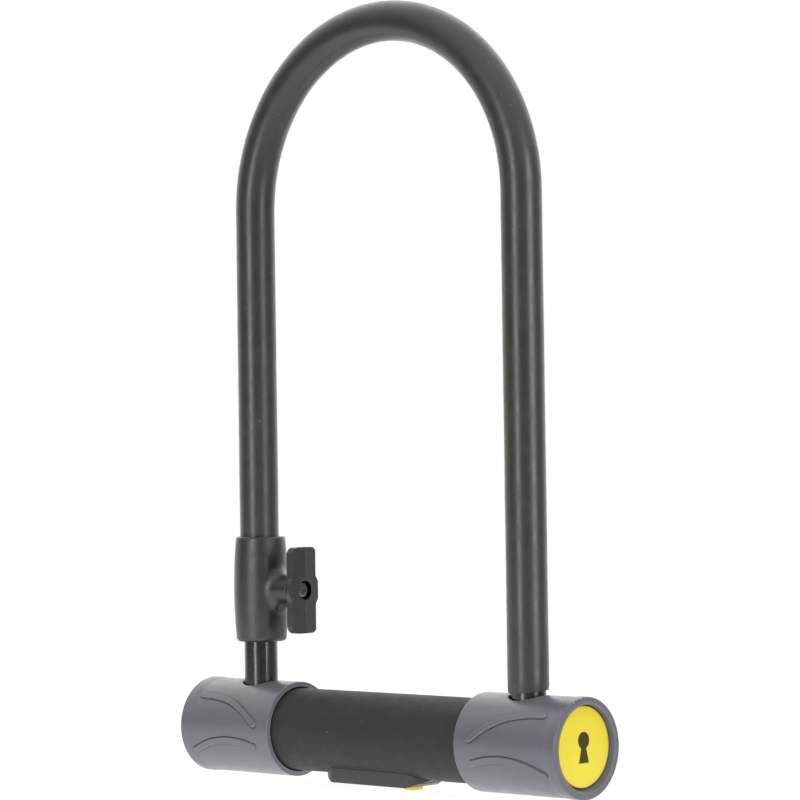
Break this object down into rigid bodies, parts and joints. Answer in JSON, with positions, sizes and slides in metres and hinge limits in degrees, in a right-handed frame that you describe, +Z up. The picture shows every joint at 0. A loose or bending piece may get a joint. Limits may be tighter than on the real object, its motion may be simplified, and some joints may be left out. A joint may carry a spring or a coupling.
{
  "type": "bicycle u lock",
  "caption": "Bicycle U lock: a sleeved steel shackle closed by a round crossbar with moulded end caps, key cylinder, sliding bolts, dust cover and a swivelling frame bracket.",
  "frame": {"origin": "middle of the bounding box at its lowest point, under the crossbar's middle", "axes": "+X along the crossbar from the leg with the bracket to the other end, +Y to the back through the shackle's opening, +Z up from the crossbar to the arch"},
  "size_m": [0.18, 0.0358, 0.2801],
  "materials": {
    "hardened_steel": "dark, oiled, satin",
    "plated_steel": "zinc plated, bright",
    "brass": "turned brass",
    "sleeve_vinyl": "satin black vinyl",
    "cover_vinyl": "matte black vinyl",
    "cap_rubber": "moulded grey, satin",
    "yellow_plastic": "yellow, smooth",
    "dark_plastic": "black glass-filled nylon, satin",
    "guide_plastic": "natural nylon",
    "soft_rubber": "matte"
  },
  "bodies": {
    "crossbar": {"crossbar_tube": "hardened_steel", "crossbar_cover": "cover_vinyl", "end_cap_left": "cap_rubber", "end_cap_right": "cap_rubber", "badge_disc_left": "yellow_plastic", "badge_disc_right": "yellow_plastic", "end_plug_left": "hardened_steel", "end_plug_right": "hardened_steel", "end_plug_pin_left": "plated_steel", "end_plug_pin_right": "plated_steel", "bolt_guide_left": "guide_plastic", "bolt_guide_right": "guide_plastic", "lock_housing": "brass", "housing_pin": "plated_steel", "anti_drill_plate": "hardened_steel", "keyway_shroud": "dark_plastic"},
    "plug": {"cylinder_plug": "brass", "detainer_disc_1": "plated_steel", "detainer_disc_2": "plated_steel", "detainer_disc_3": "plated_steel", "detainer_disc_4": "plated_steel", "detainer_disc_5": "plated_steel", "detainer_disc_6": "plated_steel", "sidebar": "plated_steel", "scroll_cam": "hardened_steel"},
    "left_bolt": {"bolt_left": "hardened_steel"},
    "right_bolt": {"bolt_right": "hardened_steel"},
    "dust_cover": {"dust_cover_slider": "yellow_plastic"},
    "shackle": {"shackle_bar": "hardened_steel", "shackle_sleeve": "sleeve_vinyl"},
    "bracket_ring": {"friction_ring": "soft_rubber"},
    "bracket": {"bracket_collar": "dark_plastic", "bracket_screw": "plated_steel", "bracket_washer": "plated_steel", "bracket_nut": "plated_steel"},
    "tee": {"bracket_tee": "dark_plastic"}
  },
  "joints": [
    {"name": "shackle_lift", "type": "slide", "parent": "crossbar", "child": "shackle", "axis": [0, 0, 1], "range_m": [0, 0.04]},
    {"name": "plug_turn", "type": "hinge", "parent": "crossbar", "child": "plug", "pos_m": [-0.008, 0, 0.0189], "axis": [0, 0, 1], "range_deg": [0, 90]},
    {"name": "bolt_left_slide", "type": "slide", "parent": "crossbar", "child": "left_bolt", "axis": [-1, 0, 0], "range_m": [0, 0.0042]},
    {"name": "bolt_right_slide", "type": "slide", "parent": "crossbar", "child": "right_bolt", "axis": [1, 0, 0], "range_m": [0, 0.0042]},
    {"name": "dust_cover_slide", "type": "slide", "parent": "crossbar", "child": "dust_cover", "axis": [1, 0, 0], "range_m": [-0.01, 0]},
    {"name": "bracket_slide", "type": "slide", "parent": "shackle", "child": "bracket_ring", "axis": [0, 0, 1], "range_m": [-0.012, 0.1]},
    {"name": "bracket_swivel", "type": "hinge", "parent": "bracket_ring", "child": "bracket", "pos_m": [-0.0645, 0, 0.0695], "axis": [0, 0, 1], "range_deg": [-180, 180]},
    {"name": "tee_turn", "type": "hinge", "parent": "bracket", "child": "tee", "pos_m": [-0.0445, 0, 0.0695], "axis": [1, 0, 0], "range_deg": [0, 90]}
  ],
  "couplings": [
    {"joint": "bolt_left_slide", "follows": "bolt_right_slide", "ratio": 1},
    {"joint": "plug_turn", "follows": "bolt_right_slide", "rad_per_m": 373.99}
  ]
}
